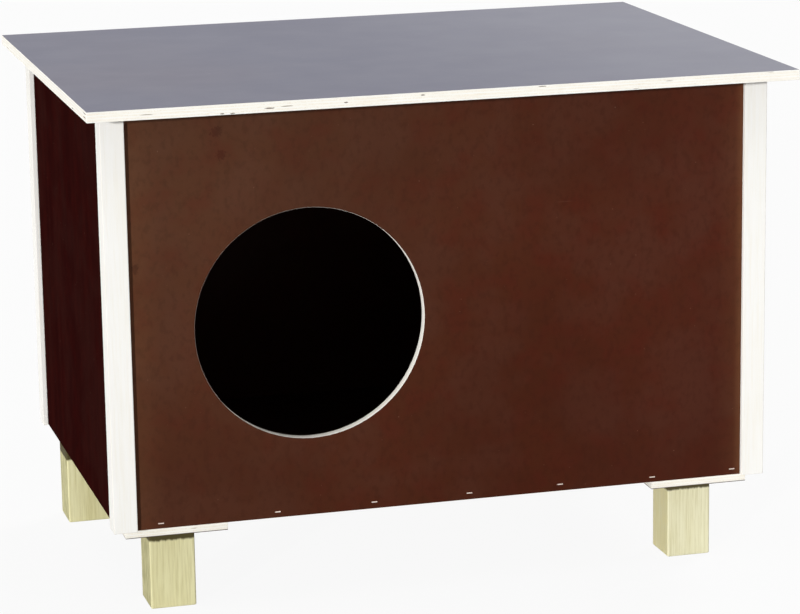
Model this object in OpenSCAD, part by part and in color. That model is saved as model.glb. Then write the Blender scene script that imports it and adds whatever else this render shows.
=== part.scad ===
// Outdoor cat house of film-faced plywood boards held between square corner posts.
// It stands on four short legs, has a round entrance, and its flat roof is hinged at the back.
// Millimetres. The origin is on the ground below the middle of the house.
// X runs to the right, Y from the front to the back, and Z up.

/* [Body] */
// Width of the house over the corner posts
body_w = 660; // [580:1:780]
// Depth of the house over the corner posts
body_d = 436; // [340:1:560]
// Height of the posts and walls
wall_h = 404; // [330:1:520]
// Thickness of the plywood boards
board_t = 10; // [9:0.5:15]
// Clearance between the floor and what stands around it
floor_gap = 0.2; // [0.1:0.05:0.5]

/* [Corner posts] */
// Width of a square post
post_w = 23; // [21:0.5:32]
// Depth of the board faces behind the post faces
wall_inset = 5.5; // [4:0.5:8]
// Thickness of the tongue on a board's end
tongue_t = 5.5; // [4:0.5:7]
// Length of the tongue on a board's end
tongue_l = 6; // [4:0.5:7]
// Clearance around a tongue in its groove
groove_gap = 0.2; // [0.1:0.05:0.4]

/* [Roof] */
// Overhang of the roof past the posts on the left and right
roof_over_side = 18; // [5:1:60]
// Overhang of the roof past the posts at the front and back
roof_over_end = 38; // [29:1:60]

/* [Entrance] */
// Diameter of the entrance hole
hole_d = 226; // [150:1:240]
// Distance of the hole's middle from the left side of the house
hole_from_left = 198; // [150:1:320]
// Height of the hole's middle above the lower edge of the front
hole_up = 190; // [130:1:200]

/* [Legs] */
// Width of a square leg
leg_w = 45; // [38:0.5:58]
// Height of a leg
leg_h = 82; // [50:1:150]
// Width of the square plate on a leg
plate_w = 100; // [84:1:130]
// Reach of the plates under the walls
plate_under = 2; // [0:0.5:8]

/* [Screws] */
// Diameter of the screws in the legs
leg_screw_d = 5; // [4:0.1:6]
// Depth of the leg screws in the legs
leg_screw_bite = 48; // [30:1:48]
// Distance between the two screws in a leg
leg_screw_pitch = 22; // [16:0.5:26]
// Diameter of the screws in the plates
plate_screw_d = 4; // [3:0.1:5]
// Depth of the plate screws in the floor
plate_screw_bite = 8; // [5:0.5:8.5]
// Distance of the screws in a plate from its edges and from the post above it
plate_screw_in = 14; // [7:0.5:16]
// Radial clearance of a screw in its hole
screw_gap = 0.1; // [0.05:0.01:0.2]

/* [Staples] */
// Width of a staple over its legs
staple_w = 5.5; // [5:0.5:10]
// Thickness of the staple wire
staple_wire = 1; // [0.8:0.1:1.6]
// Length of a staple's legs
staple_l = 20; // [18:0.5:40]
// Clearance of a staple leg in its hole, on each side
staple_gap = 0.1; // [0.05:0.01:0.2]

/* [Hinges] */
// Distance of a hinge's middle from the side of the house
hinge_in = 120; // [80:1:200]
// Length of a hinge along its pin
hinge_l = 60; // [48:1:90]
// Width of a hinge leaf from the middle of the pin
leaf_w = 26; // [22:0.5:28]
// Thickness of a hinge leaf
leaf_t = 2.5; // [1.5:0.1:3]
// Outer diameter of a hinge knuckle
knuckle_d = 10; // [8:0.5:11]
// Diameter of a hinge pin
pin_d = 5; // [4:0.1:6]
// Radial clearance of a pin in its knuckles
pin_gap = 0.05; // [0.02:0.01:0.1]
// Clearance between moving faces of a hinge
hinge_gap = 0.3; // [0.2:0.05:0.5]
// Diameter of the screws in the hinges
hinge_screw_d = 3.5; // [3:0.1:4]
// Depth of the hinge screws in the boards
hinge_screw_bite = 7.5; // [5:0.5:8.5]
// Distance of the screws in a leaf from its edges
hinge_screw_in = 9; // [7:0.5:10]

/* [Hidden] */
$fn = 64;

// Depth of a cutting solid past the face that it cuts
cut = 1;

// Heights of the walls' lower edge, the floor's top and the roof's underside
base_z = leg_h + board_t;
floor_z = base_z + board_t;
roof_z = base_z + wall_h;

// Half the width and depth over the posts, between the walls' inner faces, and of the floor board
half_w = body_w / 2;
half_d = body_d / 2;
inner_x = half_w - wall_inset - board_t;
inner_y = half_d - wall_inset - board_t;
floor_x = inner_x - floor_gap;
floor_y = inner_y - floor_gap;

// Half the widths of the boards between the posts
front_half = half_w - post_w;
side_half = half_d - post_w;

// Middle of the entrance
hole_x = hole_from_left - half_w;
hole_z = base_z + hole_up;

// Middles of the plates, and of the front and back legs, from the middle of the house.
// The front legs are centred on their plates. The back legs are flush with the plates' outer edges.
plate_x = inner_x + plate_under - plate_w / 2;
plate_y = inner_y + plate_under - plate_w / 2;
front_leg_x = plate_x;
back_leg_x = plate_x + (plate_w - leg_w) / 2;

// The post above a plate covers its outer corner, so the screws stay clear of it
post_cover = max(0, inner_x + plate_under - front_half);
plate_screw_reach = plate_w / 2 - plate_screw_in - post_cover;

// The staples are driven by hand. Each place is a share of half the board's width, and a share of
// the floor's thickness.
staple_places = [
  [-0.94, 0.54], [-0.56, 0.6], [-0.24, 0.68], [0.08, 0.68], [0.39, 0.7], [0.71, 0.55], [0.99, 0.62]
];
staple_reach = front_half - staple_w;

// Hinge pin: behind the posts' back faces, and below the roof by the knuckle's radius
knuckle_r = knuckle_d / 2;
back_face = half_d - wall_inset;
axis_y = back_face + max(wall_inset, knuckle_r) + hinge_gap;
axis_z = roof_z - knuckle_r - hinge_gap;
hinge_x = half_w - hinge_in;
knuckle_l = hinge_l / 3;
leaf_screw_places = [-1, 0, 1] * (hinge_l / 2 - hinge_screw_in);

// Lengths of the screws, and the width of their countersunk heads over that of their shanks
leg_screw_l = board_t + leg_screw_bite;
plate_screw_l = board_t + plate_screw_bite;
hinge_screw_l = leaf_t + hinge_screw_bite;
head_ratio = 2;

// Heads of the hinge pins, in proportion to the pins
pin_head_d = 1.5 * pin_d;
pin_head_t = 0.24 * pin_d;

film_brown = [0.29, 0.15, 0.11];
roof_grey = [0.55, 0.55, 0.59];
post_cream = [0.95, 0.93, 0.86];
leg_green = [0.83, 0.81, 0.62];
steel = [0.72, 0.73, 0.75];

// Box from its lowest to its highest corner
module span(low, high) {
  translate(low)
    cube(high - low);
}

// Copies for the left and right hinge
module at_hinges() {
  for (side = [-1, 1])
    translate([side * hinge_x, 0, 0])
      children();
}

// Countersunk screw. Its head is flush with z = 0 and it points down.
// A larger gap makes the hole that it fits.
module screw_form(d, l, gap) {
  head_r = head_ratio * d / 2;
  shank_r = d / 2;
  tip_l = d;
  cone_l = head_r - shank_r;
  translate([0, 0, -cone_l])
    cylinder(h = cone_l, r1 = shank_r + gap, r2 = head_r + gap);
  translate([0, 0, -l + tip_l - gap])
    cylinder(h = l - tip_l + gap, r = shank_r + gap);
  translate([0, 0, -l - gap])
    cylinder(h = tip_l, r1 = shank_r / 4 + gap, r2 = shank_r + gap);
}

module screw(d, l) {
  slot_l = head_ratio * d * 0.6;
  slot_w = d * 0.2;
  slot_deep = d * 0.25;
  difference() {
    screw_form(d, l, 0);
    for (turn = [0, 90])
      rotate([0, 0, turn])
        span([-slot_l / 2, -slot_w / 2, -slot_deep], [slot_l / 2, slot_w / 2, cut]);
  }
}

module screw_hole(d, l) {
  screw_form(d, l, screw_gap);
  cylinder(h = cut, r = head_ratio * d / 2 + screw_gap);
}

// Staple on the face y = 0 of a board, with its legs along +Y
module staple() {
  for (side = [-1, 1])
    translate([side * (staple_w - staple_wire) / 2, 0, 0])
      span([-staple_wire / 2, -staple_wire, -staple_wire / 2],
           [staple_wire / 2, staple_l, staple_wire / 2]);
  span([-staple_w / 2, -staple_wire, -staple_wire / 2], [staple_w / 2, 0, staple_wire / 2]);
}

module staple_holes() {
  hole_half = staple_wire / 2 + staple_gap;
  for (side = [-1, 1])
    translate([side * (staple_w - staple_wire) / 2, 0, 0])
      span([-hole_half, -cut, -hole_half], [hole_half, staple_l + staple_gap, hole_half]);
}

// Copies along the lower edge of the front board
module at_staples() {
  for (place = staple_places)
    translate([place.x * staple_reach, wall_inset - half_d, base_z + place.y * board_t])
      children();
}

// Board between two posts, with its outer face at y = 0, its length along X
// and a tongue at each end
module wall_board(half) {
  span([-half, 0, base_z], [half, board_t, roof_z]);
  span([-half - tongue_l, 0, base_z], [half + tongue_l, tongue_t, roof_z]);
}

module front_board() {
  difference() {
    translate([0, wall_inset - half_d, 0])
      wall_board(front_half);
    at_staples()
      staple_holes();
  }
}

module side_board() {
  translate([wall_inset - half_w, 0, 0])
    rotate([0, 0, -90])
      wall_board(side_half);
}

// Post at the front left corner, with a groove for the front board and one for the side board
module post() {
  groove_low = wall_inset - groove_gap;
  groove_high = wall_inset + tongue_t + groove_gap;
  groove_end = post_w - tongue_l - groove_gap;
  color(post_cream)
    translate([-half_w, -half_d, 0])
      difference() {
        span([0, 0, base_z], [post_w, post_w, roof_z]);
        span([groove_end, groove_low, base_z - cut], [post_w + cut, groove_high, roof_z + cut]);
        span([groove_low, groove_end, base_z - cut], [groove_high, post_w + cut, roof_z + cut]);
      }
}

// Copies at the four screws of a plate at the left, pointing up
module at_plate_screws(side_y) {
  for (x = [-1, 1] * plate_screw_reach, y = [-1, 1] * plate_screw_reach)
    translate([x - plate_x, y + side_y * plate_y, leg_h])
      mirror([0, 0, 1])
        children();
}

// Copies at the two screws of a leg at the left, pointing down
module at_leg_screws(leg_x, side_y) {
  for (y = [-1, 1] * leg_screw_pitch / 2)
    translate([-leg_x, y + side_y * plate_y, base_z])
      children();
}

// Plate on a leg at the left. side_y is -1 at the front and 1 at the back.
module leg_plate(leg_x, side_y) {
  color(film_brown)
    difference() {
      translate([-plate_x, side_y * plate_y, leg_h])
        span([-plate_w / 2, -plate_w / 2, 0], [plate_w / 2, plate_w / 2, board_t]);
      at_plate_screws(side_y)
        screw_hole(plate_screw_d, plate_screw_l);
      at_leg_screws(leg_x, side_y)
        screw_hole(leg_screw_d, leg_screw_l);
    }
}

module leg(leg_x, side_y) {
  color(leg_green)
    difference() {
      translate([-leg_x, side_y * plate_y, 0])
        span([-leg_w / 2, -leg_w / 2, 0], [leg_w / 2, leg_w / 2, leg_h]);
      at_leg_screws(leg_x, side_y)
        screw_hole(leg_screw_d, leg_screw_l);
    }
}

// Screws of one hinge, from the face of its leaf into the back board or the roof
module at_wall_leaf_screws() {
  for (x = leaf_screw_places)
    translate([x, back_face + leaf_t, axis_z - leaf_w + hinge_screw_in])
      rotate([-90, 0, 0])
        children();
}

module at_roof_leaf_screws() {
  for (x = leaf_screw_places)
    translate([x, axis_y + leaf_w - hinge_screw_in, roof_z - leaf_t])
      mirror([0, 0, 1])
        children();
}

// Cylinder round the hinge pin, from one X to another
module round_pin(x_low, x_high, r) {
  translate([x_low, axis_y, axis_z])
    rotate([0, 90, 0])
      cylinder(h = x_high - x_low, r = r);
}

// Leaf on the back board, with the two outer knuckles
module wall_leaf() {
  color(steel)
    difference() {
      union() {
        span([-hinge_l / 2, back_face, axis_z - leaf_w], [hinge_l / 2, back_face + leaf_t, axis_z]);
        span([-hinge_l / 2, back_face, axis_z - knuckle_r],
             [hinge_l / 2, axis_y, axis_z - knuckle_r + leaf_t]);
        round_pin(-hinge_l / 2, hinge_l / 2, knuckle_r);
      }
      span([-knuckle_l / 2 - hinge_gap, back_face - cut, axis_z - knuckle_r - hinge_gap],
           [knuckle_l / 2 + hinge_gap, axis_y + knuckle_d, axis_z + knuckle_d]);
      round_pin(-hinge_l, hinge_l, pin_d / 2 + pin_gap);
      at_wall_leaf_screws()
        screw_hole(hinge_screw_d, hinge_screw_l);
    }
}

// Leaf under the roof, with the middle knuckle
module roof_leaf() {
  color(steel)
    difference() {
      union() {
        span([-hinge_l / 2, axis_y, roof_z - leaf_t], [hinge_l / 2, axis_y + leaf_w, roof_z]);
        round_pin(-knuckle_l / 2, knuckle_l / 2, knuckle_r);
      }
      for (side = [-1, 1])
        translate([side * hinge_l / 2, 0, 0])
          span([knuckle_l / 2 - hinge_l / 2, axis_y - cut, roof_z - knuckle_d],
               [hinge_l / 2 - knuckle_l / 2, axis_y + knuckle_r + hinge_gap, roof_z + cut]);
      round_pin(-hinge_l, hinge_l, pin_d / 2 + pin_gap);
      at_roof_leaf_screws()
        screw_hole(hinge_screw_d, hinge_screw_l);
    }
}

module pin() {
  color(steel) {
    round_pin(-hinge_l / 2 - pin_head_t, hinge_l / 2 + pin_head_t, pin_d / 2);
    for (x = [-hinge_l / 2 - pin_head_t, hinge_l / 2])
      round_pin(x, x + pin_head_t, pin_head_d / 2);
  }
}

module floor_panel() {
  notch = post_w / 2 + floor_gap;
  color(film_brown)
    difference() {
      span([-floor_x, -floor_y, base_z], [floor_x, floor_y, floor_z]);
      for (x = [-1, 1] * (half_w - post_w / 2), y = [-1, 1] * (half_d - post_w / 2))
        translate([x, y, 0])
          span([-notch, -notch, base_z - cut], [notch, notch, floor_z + cut]);
      for (turn = [0, 180])
        rotate([0, 0, turn])
          at_staples()
            staple_holes();
      for (side = [0, 1], side_y = [-1, 1])
        mirror([side, 0, 0])
          at_plate_screws(side_y)
            screw_hole(plate_screw_d, plate_screw_l);
    }
}

module front_panel() {
  color(film_brown)
    difference() {
      front_board();
      translate([hole_x, -half_d, hole_z])
        rotate([-90, 0, 0])
          cylinder(h = post_w, d = hole_d, $fn = 128);
    }
}

module back_panel() {
  color(film_brown)
    difference() {
      rotate([0, 0, 180])
        front_board();
      at_hinges()
        at_wall_leaf_screws()
          screw_hole(hinge_screw_d, hinge_screw_l);
    }
}

module left_panel() {
  color(film_brown)
    side_board();
}

module right_panel() {
  color(film_brown)
    rotate([0, 0, 180])
      side_board();
}

module post_front_left() {
  post();
}

module post_front_right() {
  mirror([1, 0, 0])
    post();
}

module post_back_left() {
  mirror([0, 1, 0])
    post();
}

module post_back_right() {
  rotate([0, 0, 180])
    post();
}

module roof_panel() {
  color(roof_grey)
    difference() {
      span([-half_w - roof_over_side, -half_d - roof_over_end, roof_z],
           [half_w + roof_over_side, half_d + roof_over_end, roof_z + board_t]);
      at_hinges()
        at_roof_leaf_screws()
          screw_hole(hinge_screw_d, hinge_screw_l);
    }
}

module leg_plate_front_left() {
  leg_plate(front_leg_x, -1);
}

module leg_plate_front_right() {
  mirror([1, 0, 0])
    leg_plate(front_leg_x, -1);
}

module leg_plate_back_left() {
  leg_plate(back_leg_x, 1);
}

module leg_plate_back_right() {
  mirror([1, 0, 0])
    leg_plate(back_leg_x, 1);
}

module leg_front_left() {
  leg(front_leg_x, -1);
}

module leg_front_right() {
  mirror([1, 0, 0])
    leg(front_leg_x, -1);
}

module leg_back_left() {
  leg(back_leg_x, 1);
}

module leg_back_right() {
  mirror([1, 0, 0])
    leg(back_leg_x, 1);
}

module leg_screws() {
  color(steel)
    for (side = [0, 1])
      mirror([side, 0, 0]) {
        at_leg_screws(front_leg_x, -1)
          screw(leg_screw_d, leg_screw_l);
        at_leg_screws(back_leg_x, 1)
          screw(leg_screw_d, leg_screw_l);
      }
}

module plate_screws() {
  color(steel)
    for (side = [0, 1], side_y = [-1, 1])
      mirror([side, 0, 0])
        at_plate_screws(side_y)
          screw(plate_screw_d, plate_screw_l);
}

module front_staples() {
  color(steel)
    at_staples()
      staple();
}

module back_staples() {
  rotate([0, 0, 180])
    front_staples();
}

module hinge_left_wall_leaf() {
  translate([-hinge_x, 0, 0])
    wall_leaf();
}

module hinge_left_roof_leaf() {
  translate([-hinge_x, 0, 0])
    roof_leaf();
}

module hinge_left_pin() {
  translate([-hinge_x, 0, 0])
    pin();
}

module hinge_right_wall_leaf() {
  translate([hinge_x, 0, 0])
    wall_leaf();
}

module hinge_right_roof_leaf() {
  translate([hinge_x, 0, 0])
    roof_leaf();
}

module hinge_right_pin() {
  translate([hinge_x, 0, 0])
    pin();
}

module hinge_wall_screws() {
  color(steel)
    at_hinges()
      at_wall_leaf_screws()
        screw(hinge_screw_d, hinge_screw_l);
}

module hinge_roof_screws() {
  color(steel)
    at_hinges()
      at_roof_leaf_screws()
        screw(hinge_screw_d, hinge_screw_l);
}

floor_panel();
front_panel();
back_panel();
left_panel();
right_panel();
post_front_left();
post_front_right();
post_back_left();
post_back_right();
roof_panel();
leg_plate_front_left();
leg_plate_front_right();
leg_plate_back_left();
leg_plate_back_right();
leg_front_left();
leg_front_right();
leg_back_left();
leg_back_right();
leg_screws();
plate_screws();
front_staples();
back_staples();
hinge_left_wall_leaf();
hinge_left_roof_leaf();
hinge_left_pin();
hinge_right_wall_leaf();
hinge_right_roof_leaf();
hinge_right_pin();
hinge_wall_screws();
hinge_roof_screws();
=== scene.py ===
"""Looks of the outdoor cat house: eased edges, procedural materials, studio light and camera."""

import math

import bpy
from mathutils import Matrix, Vector


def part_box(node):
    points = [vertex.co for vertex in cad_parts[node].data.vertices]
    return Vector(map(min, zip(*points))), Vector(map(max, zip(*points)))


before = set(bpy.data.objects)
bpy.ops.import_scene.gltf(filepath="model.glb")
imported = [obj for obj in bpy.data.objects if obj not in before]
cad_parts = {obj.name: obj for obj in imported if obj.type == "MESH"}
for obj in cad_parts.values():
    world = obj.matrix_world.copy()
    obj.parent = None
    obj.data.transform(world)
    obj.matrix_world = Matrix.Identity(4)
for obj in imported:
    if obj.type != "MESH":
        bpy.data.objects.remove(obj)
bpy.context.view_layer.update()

MM = 0.001
X, Y, Z = range(3)
LOW, HIGH = range(2)

# Camera that matches the photograph: angles in degrees, distances in metres
IMAGE_WIDTH = 800
FOCAL_PIXELS = 3196.1
SENSOR_WIDTH = 36.0
CAMERA_AZIMUTH = 15.294
CAMERA_ELEVATION = 13.281
CAMERA_ROLL = -0.878
CAMERA_TARGET = Vector((-0.0449, -0.218, 0.2926))
CAMERA_DISTANCE = 3.0662
CAMERA_CLIP = (0.05, 200.0)

# Lamps: azimuth (0 in front of the house, 90 to its right), elevation and spread in degrees, and level,
# where a lamp of level 1 shows a white surface that faces it as white
LAMPS = {
    "key": (-41, 9.5, 3, 0.75),
    "left": (-85, 10, 20, 0.11),
    "back": (130, 35, 20, 0.58),
    "top": (-25, 76, 50, 0.29),
}
LAMP_DISTANCE = 4.0
WORLD_FILL = 0.2

# Floor: half its side, its drop below the legs, the grey that takes the light and the share shown white
FLOOR_REACH = 30.0
FLOOR_DROP = 0.3 * MM
FLOOR_GREY = 0.62
FLOOR_WHITE = 0.93
WHITE = (1.0, 1.0, 1.0, 1.0)

# Eased edges: their widths, which edges are eased, and how the mesh is cleaned up first
BOARD_EASE = 0.4 * MM
POST_EASE = 0.7 * MM
LEG_EASE = 1.6 * MM
STEEL_EASE = 0.2 * MM
EASE_SEGMENTS = 3
EASE_WEIGHT = "ease"
SHORTEST_EDGE = 2 * MM
FLATTEST_EDGE = math.radians(40)
WELD_REACH = 0.01 * MM
FLAT_ANGLE = math.radians(0.3)

# Depth of the relief in each kind of surface
BOARD_RELIEF = 0.15 * MM
TIMBER_RELIEF = 0.12 * MM
STEEL_RELIEF = 0.03 * MM

# Specular levels, and the roughness of raw plywood
FILM_GLOSS = 0.05
SIDE_GLOSS = 0.0
TIMBER_GLOSS = 0.1
RAW_ROUGHNESS = 0.75

# Plies of a board, and year rings of the timber
BOARD_THICKNESS = 10 * MM
PLIES = 7
PLY = BOARD_THICKNESS / PLIES
RINGS_A_METRE = 190.0

# Voids in the roof's front edge: distance from the middle, height above the underside and half length
ROOF_VOIDS = [
    (-222 * MM, 1.2 * MM, 2.5 * MM),
    (-212 * MM, 1.0 * MM, 3.0 * MM),
    (-177 * MM, 3.8 * MM, 6.0 * MM),
    (-104 * MM, 4.8 * MM, 2.5 * MM),
    (-30 * MM, 7.4 * MM, 2.5 * MM),
]
VOID_HALF_HEIGHT = 0.8 * MM

# Painted reflections of the white posts in the front film beside them: where each starts, where it is full,
# and its share
FILM_POST_REFLECTIONS = [
    (276 * MM, 304 * MM, 0.2),
    (298 * MM, 309 * MM, 0.75),
    (-270 * MM, -311 * MM, 0.42),
]

# Stains on the front film: distance from the middle, height above the ground, half width and half height
FILM_STAINS = [
    (-219 * MM, 473 * MM, 7 * MM, 6 * MM),
    (-215 * MM, 451 * MM, 6 * MM, 6 * MM),
    (-300 * MM, 347 * MM, 4 * MM, 7 * MM),
]
FILM_STAIN_DEPTH = 5 * MM

# Painted shadows of the plates across the tops of the legs: how far they reach down, and how ragged they end
LEFT_PLATE_SHADOW = 14 * MM
RIGHT_PLATE_SHADOW = 12.2 * MM
PLATE_SHADOW_RAGGED = 3 * MM

LEFT_LEGS = ["leg_front_left", "leg_back_left"]
RIGHT_LEGS = ["leg_front_right", "leg_back_right"]
POSTS = ["post_front_left", "post_front_right", "post_back_left", "post_back_right"]
PLATES = ["leg_plate_front_left", "leg_plate_front_right", "leg_plate_back_left", "leg_plate_back_right"]
STAPLES = ["front_staples", "back_staples"]
SCREWS = ["leg_screws", "plate_screws", "hinge_wall_screws", "hinge_roof_screws"]
WALL_HINGES = ["hinge_left_wall_leaf", "hinge_left_pin", "hinge_right_wall_leaf", "hinge_right_pin"]
ROOF_LEAVES = ["hinge_left_roof_leaf", "hinge_right_roof_leaf"]


def srgb(red, green, blue):
    """A colour written in screen levels from 0 to 255, as Blender's linear values."""
    def linear(level):
        share = level / 255
        return share / 12.92 if share <= 0.04045 else ((share + 0.055) / 1.055) ** 2.4
    return (linear(red), linear(green), linear(blue), 1.0)


class Paint:
    """One procedural material, with short calls for the nodes that it is made of."""

    def __init__(self, name):
        self.material = bpy.data.materials.new(name)
        self.material.use_nodes = True
        self.tree = self.material.node_tree
        self.shader = self.tree.nodes["Principled BSDF"]
        where = self.tree.nodes.new("ShaderNodeTexCoord")
        self.place = where.outputs["Object"]
        self.normal = where.outputs["Normal"]

    def feed(self, socket, value):
        """Links a socket to another node's output, or sets it to a constant."""
        if isinstance(value, bpy.types.NodeSocket):
            self.tree.links.new(value, socket)
        else:
            socket.default_value = value

    def node(self, kind, inputs, output=0, **settings):
        """A new node with its settings and inputs. Gives one of its outputs."""
        made = self.tree.nodes.new("ShaderNode" + kind)
        for name, value in settings.items():
            setattr(made, name, value)
        for socket, value in inputs.items():
            self.feed(made.inputs[socket], value)
        return made.outputs[output]

    def math(self, operation, first, second=0.0):
        """A calculation with one or two numbers."""
        return self.node("Math", {0: first, 1: second}, operation=operation)

    def vector(self, operation, first, second):
        """A calculation with two vectors."""
        return self.node("VectorMath", {0: first, 1: second}, operation=operation)

    def length(self, vector):
        """Length of a vector."""
        return self.node("VectorMath", {0: vector}, output=1, operation="LENGTH")

    def axes(self, vector):
        """The three parts of a vector."""
        made = self.tree.nodes.new("ShaderNodeSeparateXYZ")
        self.feed(made.inputs[0], vector)
        return list(made.outputs)

    def noise(self, scale, detail=2.0, roughness=0.5):
        """Noise about 0.5, with one scale or one for each axis, in cycles a metre."""
        if not isinstance(scale, tuple):
            scale = (scale, scale, scale)
        stretched = self.vector("MULTIPLY", self.place, scale)
        inputs = {"Vector": stretched, "Scale": 1.0, "Detail": detail, "Roughness": roughness}
        return self.node("TexNoise", inputs)

    def waver(self, scale, width):
        """Noise about zero, for a border that isn't straight."""
        return self.math("MULTIPLY", self.math("SUBTRACT", self.noise(scale), 0.5), width)

    def ramp(self, value, low, high, start=0.0, end=1.0):
        """A smooth step from start to end while value goes from low to high."""
        inputs = {"Value": value, "From Min": low, "From Max": high, "To Min": start, "To Max": end}
        return self.node("MapRange", inputs, interpolation_type="SMOOTHSTEP")

    def spot(self, centre, reach, ragged=0.8):
        """1 at a place on the object, and 0 past its reach along each axis, with a ragged border."""
        away = self.length(self.vector("DIVIDE", self.vector("SUBTRACT", self.place, centre), reach))
        return self.ramp(self.math("ADD", away, self.waver(500.0, ragged)), 1.0, 0.5)

    def mix(self, share, first, second):
        """Mix of two colours."""
        return self.node("Mix", {0: share, 6: first, 7: second}, output=2, data_type="RGBA")

    def blend(self, share, first, second):
        """Mix of two numbers."""
        return self.node("Mix", {0: share, 2: first, 3: second}, data_type="FLOAT")

    def tint(self, colour, target, value, low, high, share=1.0):
        """The colour, turned towards a target by up to a share while value goes from low to high."""
        return self.mix(self.ramp(value, low, high, 0.0, share), colour, target)

    def bump(self, height, distance):
        """Normals of a surface with a relief."""
        return self.node("Bump", {"Height": height, "Distance": distance, "Strength": 1.0})

    def finish(self, colour, roughness, normal, metallic=0.0, specular=0.5):
        """Joins everything to the shader and gives the material."""
        self.feed(self.shader.inputs["Base Color"], colour)
        self.feed(self.shader.inputs["Roughness"], roughness)
        self.feed(self.shader.inputs["Normal"], normal)
        self.shader.inputs["Metallic"].default_value = metallic
        self.shader.inputs["Specular IOR Level"].default_value = specular
        return self.material


def ply_edge(paint, axis, low):
    """Colour and height of raw plywood edges: plies, thin glue lines, end grain and small voids."""
    pale, shaded = srgb(254, 253, 247), srgb(248, 242, 228)
    end_pale, end_shaded = srgb(252, 248, 238), srgb(238, 228, 206)
    glue_brown, void_brown = srgb(205, 176, 138), srgb(94, 66, 44)

    depth = paint.math("SUBTRACT", paint.axes(paint.place)[axis], low)
    layer = paint.math("DIVIDE", paint.math("ADD", depth, paint.waver(18.0, 0.5 * MM)), PLY)
    odd = paint.math("GREATER_THAN", paint.math("FRACT", paint.math("MULTIPLY", layer, 0.5)), 0.5)
    from_middle = paint.math("ABSOLUTE", paint.math("SUBTRACT", paint.math("FRACT", layer), 0.5))
    glue = paint.ramp(from_middle, 0.4, 0.5)

    fibre_scale, void_scale = [30.0] * 3, [30.0] * 3
    fibre_scale[axis], void_scale[axis] = 900.0, 620.0
    fibres = paint.noise(tuple(fibre_scale), 3.0)
    voids = paint.ramp(paint.noise(tuple(void_scale), 1.0), 0.745, 0.77)
    pores = paint.noise(1400.0, 1.0)
    patches = paint.noise(40.0)

    colour = paint.tint(pale, shaded, fibres, 0.4, 0.8)
    end_grain = paint.tint(end_pale, end_shaded, pores, 0.4, 0.7)
    colour = paint.mix(paint.math("MULTIPLY", odd, 0.6), colour, end_grain)
    glue = paint.math("MULTIPLY", glue, paint.ramp(patches, 0.45, 0.7, 0.08, 0.55))
    colour = paint.mix(glue, colour, glue_brown)
    colour = paint.mix(voids, colour, void_brown)
    height = paint.math("SUBTRACT", paint.math("MULTIPLY", fibres, 0.4), voids)
    return colour, height


def front_edge(paint, axis, low):
    """Plywood edge that is freshly cut, paler and warmer, as round the entrance."""
    fresh = srgb(255, 250, 240)
    colour, height = ply_edge(paint, axis, low)
    return paint.mix(0.75, colour, fresh), height


def roof_edge(paint, axis, low):
    """Plywood edge with the roof's own voids along its front."""
    void_brown = srgb(88, 62, 44)
    colour, height = ply_edge(paint, axis, low)
    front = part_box("roof_panel")[LOW][Y]
    for across, up, half_length in ROOF_VOIDS:
        void = paint.spot((across, front, low + up), (half_length, BOARD_EASE, VOID_HALF_HEIGHT))
        colour = paint.mix(paint.math("MULTIPLY", void, 0.8), colour, void_brown)
        height = paint.math("SUBTRACT", height, void)
    return colour, height


def plate_edge(paint, axis, low):
    """Plywood edge with a dark line of film along its lower side."""
    film_brown = srgb(84, 68, 56)
    colour, height = ply_edge(paint, axis, low)
    depth = paint.math("SUBTRACT", paint.axes(paint.place)[axis], low)
    return paint.tint(colour, film_brown, depth, 1.1 * MM, 0.6 * MM), height


def mottled(paint, colour, strength):
    """A film's colour with clouds, faded patches, blotches, dark cells, fine scuffs and a little dust."""
    dust_brown = srgb(172, 140, 120)
    clouds = paint.noise(5.0, 4.0, 0.55)
    faded = paint.noise(14.0, 3.0, 0.6)
    blotches = paint.noise(38.0)
    cells = paint.noise((150.0, 150.0, 110.0), 3.0, 0.6)
    scuffs = paint.ramp(paint.noise((12.0, 260.0, 140.0)), 0.76, 0.82, 0.0, 0.1)
    dust = paint.ramp(paint.noise(420.0, 0.0), 0.86, 0.89, 0.0, 0.2)
    darker = paint.mix(0.4, colour, srgb(22, 8, 6))
    redder = paint.mix(0.5, colour, srgb(84, 18, 14))
    greyer = paint.mix(0.12, colour, srgb(96, 72, 62))
    colour = paint.tint(colour, redder, blotches, 0.4, 0.7, strength)
    colour = paint.tint(colour, greyer, faded, 0.4, 0.65, 2.0 * strength)
    colour = paint.tint(colour, darker, clouds, 0.42, 0.72, strength)
    colour = paint.tint(colour, darker, cells, 0.45, 0.7, strength)
    return paint.mix(paint.math("MAXIMUM", scuffs, dust), colour, dust_brown)


def front_film(paint):
    """Brown film, paler towards the upper left, with painted reflections of the posts beside them and a few
    small stains.
    """
    brown, upper_brown, right_brown = srgb(69, 30, 15), srgb(75, 37, 22), srgb(76, 35, 23)
    upper_left_brown, reflection_brown, stain_brown = srgb(85, 53, 36), srgb(106, 68, 44), srgb(52, 20, 14)
    across, _, up = paint.axes(paint.place)
    colour = paint.tint(brown, upper_brown, up, 200 * MM, 500 * MM)
    leftward = paint.ramp(across, 160 * MM, -300 * MM)
    upward = paint.ramp(up, 50 * MM, 500 * MM, 0.3, 1.0)
    colour = paint.mix(paint.math("MULTIPLY", leftward, upward), colour, upper_left_brown)
    colour = paint.tint(colour, right_brown, across, 50 * MM, 300 * MM, 0.5)
    # Painted reflections of the white posts: paler strips of film beside them.
    for start, full, share in FILM_POST_REFLECTIONS:
        colour = paint.tint(colour, reflection_brown, across, start, full, share)
    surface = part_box("front_panel")[LOW][Y]
    for sideways, height, half_width, half_height in FILM_STAINS:
        reach = (half_width, FILM_STAIN_DEPTH, half_height)
        stain = paint.spot((sideways, surface, height), reach, ragged=1.6)
        colour = paint.mix(paint.math("MULTIPLY", stain, 0.42), colour, stain_brown)
    return mottled(paint, colour, 0.4)


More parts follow.
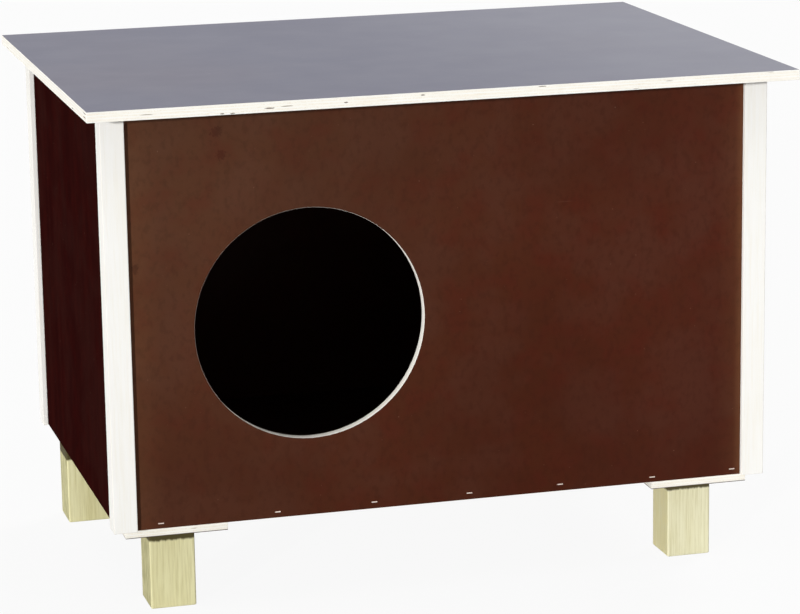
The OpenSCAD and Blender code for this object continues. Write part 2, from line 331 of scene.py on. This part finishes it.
def shaded_side_film(paint):
    """Red-brown film of the side boards: the boards' film, painted darker as shade."""
    streaks = paint.noise((60.0, 60.0, 2.0))
    # Painted shade: the same film as the other boards, much darker.
    colour = paint.tint(srgb(40, 11, 10), srgb(44, 14, 12), streaks, 0.35, 0.7)
    return mottled(paint, colour, 0.15)


def plain_film(paint):
    """Brown film of the back, the floor and the plates."""
    fade = paint.noise(3.0)
    colour = paint.tint(srgb(71, 32, 18), srgb(84, 50, 36), fade, 0.4, 0.75, 0.6)
    return mottled(paint, colour, 0.45)


def shaded_inner_film(paint):
    """Film of the faces that look into the house, painted darker as shade."""
    fade = paint.noise(4.0)
    colour = paint.tint(srgb(54, 25, 17), srgb(62, 30, 21), fade, 0.35, 0.7)
    return mottled(paint, colour, 0.3)


def grey_film(paint):
    """Satin grey film of the roof, paler towards the right, with faint rain marks, grain and specks."""
    grey, right_grey, warm_grey = srgb(112, 112, 127), srgb(136, 136, 148), srgb(117, 111, 121)
    rain_grey, grain_grey, speck_grey = srgb(104, 103, 116), srgb(158, 159, 170), srgb(190, 190, 196)
    across = paint.axes(paint.place)[X]
    colour = paint.tint(grey, right_grey, across, -100 * MM, 380 * MM)
    colour = paint.tint(colour, warm_grey, paint.noise(3.0, 1.0), 0.4, 0.7, 0.35)
    colour = paint.tint(colour, rain_grey, paint.noise((11.0, 5.0, 11.0), 3.0), 0.45, 0.8, 0.12)
    colour = paint.tint(colour, grain_grey, paint.noise((30.0, 260.0, 260.0)), 0.5, 0.8, 0.05)
    return paint.tint(colour, speck_grey, paint.noise(300.0, 0.0), 0.84, 0.88, 0.2)


def board(name, axis, outward, film, gloss, edge):
    """Material of a plywood board. axis goes through its thickness, and outward is its outer side's sign."""
    paint = Paint(name + "_board")
    facing = paint.axes(paint.normal)[axis]
    film_here = paint.ramp(paint.math("ABSOLUTE", facing), 0.80, 0.92)
    outside = paint.ramp(paint.math("MULTIPLY", facing, outward), 0.0, 0.5)
    # Faces that look into the house take the film painted darker as shade.
    faces = paint.mix(outside, shaded_inner_film(paint), film(paint))
    raw, fibres = edge(paint, axis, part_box(name)[LOW][axis])
    smudges = paint.ramp(paint.noise(16.0, 3.0), 0.3, 0.7, 0.39, 0.43)
    peel = paint.math("MULTIPLY", paint.noise(900.0, 1.0), 0.1)
    colour = paint.mix(film_here, raw, faces)
    roughness = paint.blend(film_here, RAW_ROUGHNESS, smudges)
    height = paint.blend(film_here, fibres, peel)
    return paint.finish(colour, roughness, paint.bump(height, BOARD_RELIEF), specular=gloss)


def timber(paint, light, mid, dark, contrast):
    """Softwood's colour and height, grained along Z: year rings round the house's axis, streaks, fibres."""
    from_axis = paint.length(paint.vector("MULTIPLY", paint.place, (1.0, 1.0, 0.0)))
    sway = paint.math("MULTIPLY", paint.noise((60.0, 60.0, 6.0), 3.0), 4.5)
    rings = paint.math("ADD", paint.math("MULTIPLY", from_axis, RINGS_A_METRE), sway)
    ring = paint.math("FRACT", rings)
    late = paint.math("MULTIPLY", paint.ramp(ring, 0.4, 0.9), paint.ramp(ring, 1.0, 0.9))
    streaks = paint.noise((520.0, 520.0, 20.0), 4.0, 0.65)
    fibres = paint.noise((1500.0, 1500.0, 30.0), 3.0, 0.6)
    patches = paint.noise((30.0, 30.0, 5.0))

    colour = paint.tint(light, mid, patches, 0.35, 0.7)
    colour = paint.mix(paint.math("MULTIPLY", late, 0.2 * contrast), colour, dark)
    colour = paint.tint(colour, dark, streaks, 0.4, 0.72, contrast)
    colour = paint.tint(colour, dark, fibres, 0.5, 0.8, 0.5 * contrast)
    height = paint.math("ADD", paint.math("MULTIPLY", fibres, 0.5), paint.math("MULTIPLY", streaks, 0.5))
    return colour, height


def worn_edges(paint, colour, worn, strength):
    """The colour of a square timber, worn along its eased edges."""
    sides = [paint.math("ABSOLUTE", part) for part in paint.axes(paint.normal)]
    squareness = paint.math("MAXIMUM", paint.math("MAXIMUM", sides[X], sides[Y]), sides[Z])
    return paint.tint(colour, worn, squareness, 0.99, 0.93, strength)


def timber_finish(paint, colour, height):
    """Timber's material from its colour and height, rougher where it is higher."""
    roughness = paint.ramp(height, 0.3, 0.8, 0.6, 0.8)
    return paint.finish(colour, roughness, paint.bump(height, TIMBER_RELIEF), specular=TIMBER_GLOSS)


def post_timber():
    """Pale planed softwood."""
    light, mid = srgb(251, 250, 246), srgb(250, 248, 242)
    dark, worn = srgb(240, 234, 218), srgb(230, 223, 208)
    paint = Paint("post_timber")
    colour, height = timber(paint, light, mid, dark, 0.3)
    return timber_finish(paint, worn_edges(paint, colour, worn, 0.5), height)


def leg_timber(name, light, mid, dark, side_shade, shadow_reach):
    """Treated softwood with painted shade on its left and right sides, in blotches, and a painted shadow of
    the plate across its top.
    """
    plate_shadow_brown = srgb(60, 51, 16)
    paint = Paint(name)
    colour, height = timber(paint, light, mid, dark, 0.62)
    # Painted shade: the left and right sides are darker, in blotches.
    side = paint.ramp(paint.math("ABSOLUTE", paint.axes(paint.normal)[X]), 0.6, 0.9)
    blotches = paint.ramp(paint.noise((160.0, 160.0, 60.0), 3.0), 0.3, 0.7, 0.35, 0.8)
    colour = paint.mix(paint.math("MULTIPLY", side, blotches), colour, side_shade)
    colour = worn_edges(paint, colour, light, 0.5)
    # Painted shadow of the plate across the top of the leg, with a ragged lower border.
    below = paint.math("SUBTRACT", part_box("leg_front_left")[HIGH][Z], paint.axes(paint.place)[Z])
    below = paint.math("ADD", below, paint.waver((300.0, 300.0, 20.0), PLATE_SHADOW_RAGGED))
    colour = paint.tint(colour, plate_shadow_brown, below, 1.06 * shadow_reach, 0.86 * shadow_reach, 0.95)
    return timber_finish(paint, colour, height)


def zinc(name, bright, dull, smooth, rough):
    """Zinc-plated steel with faint spangle, drawn lines and duller spots."""
    paint = Paint(name)
    spangle = paint.noise(240.0)
    lines = paint.noise((60.0, 1600.0, 1600.0), 1.0)
    colour = paint.tint(bright, dull, spangle, 0.35, 0.7)
    roughness = paint.ramp(spangle, 0.3, 0.7, smooth, rough)
    return paint.finish(colour, roughness, paint.bump(lines, STEEL_RELIEF), metallic=1.0)


def long_edges():
    """Geometry nodes that give long outer edges a bevel weight, and leave the rims of small bores alone."""
    group = bpy.data.node_groups.new("long_edges", "GeometryNodeTree")
    for way in ("INPUT", "OUTPUT"):
        group.interface.new_socket("Geometry", in_out=way, socket_type="NodeSocketGeometry")
    nodes, links = group.nodes, group.links

    def above(value, limit):
        """1 where a value is above its limit, and else 0."""
        more = nodes.new("ShaderNodeMath")
        more.operation = "GREATER_THAN"
        links.new(value, more.inputs[0])
        more.inputs[1].default_value = limit
        return more.outputs[0]

    ends = nodes.new("GeometryNodeInputMeshEdgeVertices")
    length = nodes.new("ShaderNodeVectorMath")
    length.operation = "DISTANCE"
    links.new(ends.outputs["Position 1"], length.inputs[0])
    links.new(ends.outputs["Position 2"], length.inputs[1])
    angle = nodes.new("GeometryNodeInputMeshEdgeAngle")
    both = nodes.new("ShaderNodeMath")
    both.operation = "MULTIPLY"
    links.new(above(length.outputs["Value"], SHORTEST_EDGE), both.inputs[0])
    links.new(above(angle.outputs["Signed Angle"], FLATTEST_EDGE), both.inputs[1])
    store = nodes.new("GeometryNodeStoreNamedAttribute")
    store.data_type = "FLOAT"
    store.domain = "EDGE"
    store.inputs["Name"].default_value = EASE_WEIGHT
    links.new(both.outputs[0], store.inputs["Value"])
    links.new(nodes.new("NodeGroupInput").outputs[0], store.inputs["Geometry"])
    links.new(store.outputs[0], nodes.new("NodeGroupOutput").inputs[0])
    return group


EDGE_MARKS = long_edges()


def ease(node, width):
    """Rounds a CAD node's long sharp edges by a small amount."""
    weld = node.modifiers.new("weld", "WELD")
    weld.merge_threshold = WELD_REACH
    flat = node.modifiers.new("flat", "DECIMATE")
    flat.decimate_type = "DISSOLVE"
    flat.angle_limit = FLAT_ANGLE
    node.modifiers.new("mark", "NODES").node_group = EDGE_MARKS
    bevel = node.modifiers.new("ease", "BEVEL")
    bevel.width = width
    bevel.segments = EASE_SEGMENTS
    bevel.limit_method = "WEIGHT"
    bevel.edge_weight = EASE_WEIGHT
    bevel.use_clamp_overlap = False


def dress(names, material, width=0.0):
    """Gives CAD nodes a material, and eased edges where a width is given."""
    for name in names:
        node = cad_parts[name]
        node.data.materials.clear()
        node.data.materials.append(material)
        if width:
            ease(node, width)


def dress_boards():
    """Plywood: for each board the axis of its thickness, its outer side, its film, gloss and raw edges."""
    for name, axis, outward, film, gloss, edge in (
        ("front_panel", Y, -1, front_film, FILM_GLOSS, front_edge),
        ("back_panel", Y, 1, plain_film, FILM_GLOSS, ply_edge),
        ("left_panel", X, -1, shaded_side_film, SIDE_GLOSS, ply_edge),
        ("right_panel", X, 1, shaded_side_film, SIDE_GLOSS, ply_edge),
        ("floor_panel", Z, -1, plain_film, FILM_GLOSS, ply_edge),
        ("roof_panel", Z, 1, grey_film, FILM_GLOSS, roof_edge),
    ):
        dress([name], board(name, axis, outward, film, gloss, edge), BOARD_EASE)
    dress(PLATES, board(PLATES[0], Z, -1, plain_film, FILM_GLOSS, plate_edge), BOARD_EASE)


def dress_timber():
    """Posts and legs. The right legs are paler than the left ones."""
    left_leg = leg_timber(
        "left_leg_timber",
        light=srgb(237, 232, 186),
        mid=srgb(227, 221, 172),
        dark=srgb(203, 194, 138),
        side_shade=srgb(161, 156, 112),
        shadow_reach=LEFT_PLATE_SHADOW,
    )
    right_leg = leg_timber(
        "right_leg_timber",
        light=srgb(243, 239, 205),
        mid=srgb(235, 229, 189),
        dark=srgb(209, 201, 150),
        side_shade=srgb(234, 224, 168),
        shadow_reach=RIGHT_PLATE_SHADOW,
    )
    dress(POSTS, post_timber(), POST_EASE)
    dress(LEFT_LEGS, left_leg, LEG_EASE)
    dress(RIGHT_LEGS, right_leg, LEG_EASE)


def dress_steel():
    """Staples, hinges and screws. The roof leaves and screws keep their CAD edges."""
    staple = zinc("staple_steel", srgb(240, 226, 216), srgb(222, 204, 192), 0.35, 0.5)
    plated = zinc("plated_steel", srgb(201, 203, 206), srgb(187, 190, 194), 0.34, 0.42)
    bright = zinc("screw_steel", srgb(220, 217, 208), srgb(202, 199, 190), 0.22, 0.34)
    dress(STAPLES, staple, STEEL_EASE)
    dress(WALL_HINGES, plated, STEEL_EASE)
    dress(ROOF_LEAVES, plated)
    dress(SCREWS, bright)


def seen_ray(nodes, links):
    """1 for rays that show the floor or the world as such, straight or in metal and glass."""
    path = nodes.new("ShaderNodeLightPath")
    shown = path.outputs["Is Camera Ray"]
    for name in ("Is Glossy Ray", "Is Transmission Ray"):
        most = nodes.new("ShaderNodeMath")
        most.operation = "MAXIMUM"
        links.new(shown, most.inputs[0])
        links.new(path.outputs[name], most.inputs[1])
        shown = most.outputs[0]
    return shown


def make_floor():
    """Pale floor that reads as white and keeps a light shadow."""
    mesh = bpy.data.meshes.new("floor")
    signs = [(-1, -1), (1, -1), (1, 1), (-1, 1)]
    corners = [(x * FLOOR_REACH, y * FLOOR_REACH, -FLOOR_DROP) for x, y in signs]
    mesh.from_pydata(corners, [], [(0, 1, 2, 3)])
    floor = bpy.data.objects.new("floor", mesh)
    bpy.context.scene.collection.objects.link(floor)
    material = bpy.data.materials.new("pale_floor")
    material.use_nodes = True
    nodes, links = material.node_tree.nodes, material.node_tree.links
    nodes.clear()
    matt = nodes.new("ShaderNodeBsdfDiffuse")
    matt.inputs["Color"].default_value = (FLOOR_GREY, FLOOR_GREY, FLOOR_GREY, 1.0)
    white = nodes.new("ShaderNodeEmission")
    white.inputs["Color"].default_value = WHITE
    share = nodes.new("ShaderNodeMath")
    share.operation = "MULTIPLY"
    links.new(seen_ray(nodes, links), share.inputs[0])
    share.inputs[1].default_value = FLOOR_WHITE
    both = nodes.new("ShaderNodeMixShader")
    links.new(share.outputs[0], both.inputs[0])
    links.new(matt.outputs[0], both.inputs[1])
    links.new(white.outputs[0], both.inputs[2])
    links.new(both.outputs[0], nodes.new("ShaderNodeOutputMaterial").inputs[0])
    mesh.materials.append(material)


def make_world():
    """Even studio surroundings, white where they are seen."""
    world = bpy.data.worlds.new("studio")
    world.use_nodes = True
    nodes, links = world.node_tree.nodes, world.node_tree.links
    background = nodes["Background"]
    background.inputs["Color"].default_value = WHITE
    strength = nodes.new("ShaderNodeMapRange")
    links.new(seen_ray(nodes, links), strength.inputs["Value"])
    strength.inputs["To Min"].default_value = WORLD_FILL
    strength.inputs["To Max"].default_value = 1.0
    links.new(strength.outputs[0], background.inputs["Strength"])
    bpy.context.scene.world = world


def make_lamp(name, azimuth, elevation, spread, level):
    """Soft distant lamp that shines on the house."""
    turn, rise = math.radians(azimuth), math.radians(elevation)
    away = Vector((math.sin(turn) * math.cos(rise), -math.cos(turn) * math.cos(rise), math.sin(rise)))
    lamp = bpy.data.lights.new(name, "SUN")
    lamp.energy = level * math.pi
    lamp.angle = math.radians(spread)
    holder = bpy.data.objects.new(name, lamp)
    holder.location = away * LAMP_DISTANCE
    holder.rotation_euler = (-away).to_track_quat("-Z", "Y").to_euler()
    bpy.context.scene.collection.objects.link(holder)


def make_camera():
    """Camera at the photograph's place, with its slight roll."""
    turn, drop, roll = (math.radians(angle) for angle in (CAMERA_AZIMUTH, CAMERA_ELEVATION, CAMERA_ROLL))
    ahead = Vector((math.sin(turn) * math.cos(drop), math.cos(turn) * math.cos(drop), -math.sin(drop)))
    level = Vector((math.cos(turn), -math.sin(turn), 0.0))
    upright = level.cross(ahead)
    right = math.cos(roll) * level + math.sin(roll) * upright
    up = math.cos(roll) * upright - math.sin(roll) * level
    data = bpy.data.cameras.new("camera")
    data.sensor_fit = "HORIZONTAL"
    data.sensor_width = SENSOR_WIDTH
    data.lens = FOCAL_PIXELS * SENSOR_WIDTH / IMAGE_WIDTH
    data.clip_start, data.clip_end = CAMERA_CLIP
    camera = bpy.data.objects.new("camera", data)
    axes = Matrix((right, up, -ahead)).transposed()
    camera.matrix_world = Matrix.Translation(CAMERA_TARGET - ahead * CAMERA_DISTANCE) @ axes.to_4x4()
    bpy.context.scene.collection.objects.link(camera)
    bpy.context.scene.camera = camera


bpy.context.scene.view_settings.view_transform = "Standard"
dress_boards()
dress_timber()
dress_steel()
make_floor()
make_world()
for lamp_name, lamp_values in LAMPS.items():
    make_lamp(lamp_name, *lamp_values)
make_camera()
